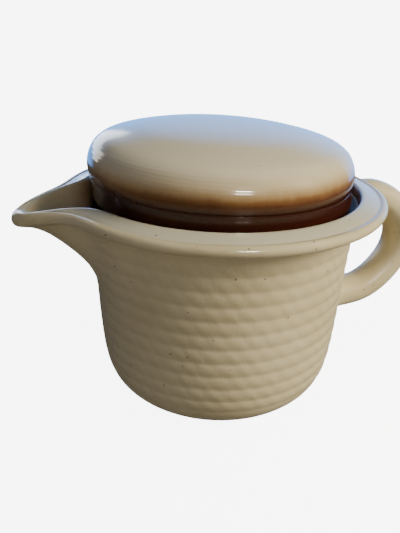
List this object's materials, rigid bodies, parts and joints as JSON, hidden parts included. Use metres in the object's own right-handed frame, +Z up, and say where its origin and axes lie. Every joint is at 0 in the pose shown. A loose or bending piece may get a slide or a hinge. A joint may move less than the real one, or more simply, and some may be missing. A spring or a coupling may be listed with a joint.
{
  "type": "teapot infuser",
  "caption": "Stoneware teapot with a pulled beak lip, looped handle and knobless lid over a lift-out steel infuser basket with a folding wire bail.",
  "frame": {"origin": "centre of the pot's flat base", "axes": "+Z up through the lid, -X along the beak, +X along the handle, Y across"},
  "size_m": [0.2223, 0.1638, 0.1438],
  "materials": {
    "cream_glaze": "satin cream stoneware glaze with iron speckle, glossy on the rim",
    "brown_glaze": "glossy glaze, cream on the dome running to dark red-brown at the band",
    "spun_steel": "spun, fine circular marks",
    "woven_mesh": "fine plain-weave wire mesh",
    "strip_steel": "satin strip",
    "wire_steel": "bright drawn wire"
  },
  "bodies": {
    "pot": {"pot_body": "cream_glaze", "handle": "cream_glaze"},
    "infuser": {"infuser_rim": "spun_steel", "infuser_mesh_wall": "woven_mesh", "infuser_mesh_floor": "woven_mesh", "infuser_foot_hoop": "spun_steel", "infuser_strap_1": "strip_steel", "infuser_strap_2": "strip_steel", "infuser_strap_3": "strip_steel", "infuser_strap_4": "strip_steel", "bail_ear_left": "strip_steel", "bail_ear_right": "strip_steel", "ear_rivet_left": "wire_steel", "ear_rivet_right": "wire_steel"},
    "lid": {"lid": "brown_glaze"},
    "bail": {"bail_wire": "wire_steel"}
  },
  "joints": [
    {"name": "infuser_lift", "type": "slide", "parent": "pot", "child": "infuser", "axis": [0, 0, 1], "range_m": [0, 0.095]},
    {"name": "lid_lift", "type": "slide", "parent": "infuser", "child": "lid", "axis": [0, 0, 1], "range_m": [0, 0.07]},
    {"name": "bail_swing", "type": "hinge", "parent": "infuser", "child": "bail", "pos_m": [0, 0, 0.1126], "axis": [0, 1, 0], "range_deg": [0, 180]}
  ]
}
